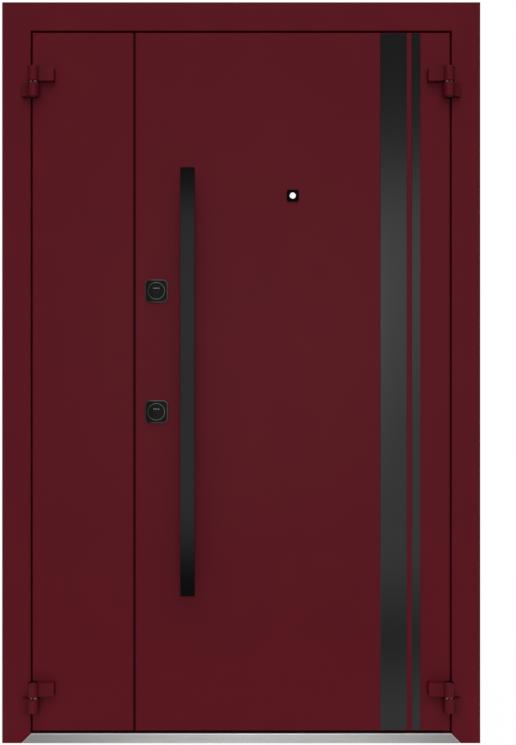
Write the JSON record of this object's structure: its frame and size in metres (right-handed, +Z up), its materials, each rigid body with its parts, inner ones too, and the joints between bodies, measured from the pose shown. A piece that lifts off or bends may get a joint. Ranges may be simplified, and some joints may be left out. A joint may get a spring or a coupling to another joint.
{
  "type": "unequal double entrance door",
  "caption": "Steel entrance door with a wide main leaf and a narrow side leaf in a rebated frame, with outside barrel hinges, long pull handles, cylinder locks and a peephole.",
  "frame": {"origin": "floor level, middle of the width, in the plane of the wall's outer face, on the threshold's underside", "axes": "+X to the right seen from outside, +Y into the wall, +Z up; the leaves open towards -Y"},
  "size_m": [1.371, 0.23, 2.124],
  "materials": {
    "burgundy_paint": "satin",
    "inner_panel_paint": "satin",
    "stainless_sill": "satin",
    "hinge_steel": "polished",
    "black_strip": "satin",
    "black_handle": "satin",
    "black_lock": "satin",
    "nickel_keyway": "satin",
    "edge_steel": "satin",
    "seal_rubber": "matte",
    "peephole_glass": "gloss"
  },
  "bodies": {
    "frame": {"left_jamb": "burgundy_paint", "right_jamb": "burgundy_paint", "head_jamb": "burgundy_paint", "threshold": "burgundy_paint", "left_lower_hinge_base": "burgundy_paint", "left_upper_hinge_base": "burgundy_paint", "right_lower_hinge_base": "burgundy_paint", "right_upper_hinge_base": "burgundy_paint", "sill_cover": "stainless_sill", "left_lower_hinge_pin": "hinge_steel", "left_upper_hinge_pin": "hinge_steel", "right_lower_hinge_pin": "hinge_steel", "right_upper_hinge_pin": "hinge_steel", "frame_seal": "seal_rubber"},
    "side_leaf": {"side_leaf_face": "burgundy_paint", "side_leaf_core": "burgundy_paint", "side_leaf_inner_panel": "inner_panel_paint", "side_meeting_seal": "seal_rubber", "left_lower_hinge_knuckle": "burgundy_paint", "left_upper_hinge_knuckle": "burgundy_paint", "lower_strike": "edge_steel", "upper_strike": "edge_steel", "lower_flush_bolt": "edge_steel", "upper_flush_bolt": "edge_steel"},
    "main_leaf": {"main_leaf_face": "burgundy_paint", "main_leaf_core": "burgundy_paint", "main_leaf_inner_panel": "inner_panel_paint", "main_meeting_seal": "seal_rubber", "right_lower_hinge_knuckle": "burgundy_paint", "right_upper_hinge_knuckle": "burgundy_paint", "wide_strip": "black_strip", "narrow_strip": "black_strip", "pull_handle": "black_handle", "inside_pull_handle": "black_handle", "lower_escutcheon": "black_lock", "upper_escutcheon": "black_lock", "lower_inside_escutcheon": "black_lock", "upper_inside_escutcheon": "black_lock", "lower_cylinder": "black_lock", "upper_cylinder": "black_lock", "lower_keyway": "nickel_keyway", "upper_keyway": "nickel_keyway", "peephole_bezel": "black_lock", "peephole_lens": "peephole_glass", "peephole_eyepiece": "black_lock", "lower_lock_faceplate": "edge_steel", "upper_lock_faceplate": "edge_steel"}
  },
  "joints": [
    {"name": "main_leaf_swing", "type": "hinge", "parent": "frame", "child": "main_leaf", "pos_m": [0.591, -0.033, 1.012], "axis": [0, 0, 1], "range_deg": [0, 170]},
    {"name": "side_leaf_swing", "type": "hinge", "parent": "frame", "child": "side_leaf", "pos_m": [-0.591, -0.033, 1.012], "axis": [0, 0, -1], "range_deg": [0, 170]}
  ]
}
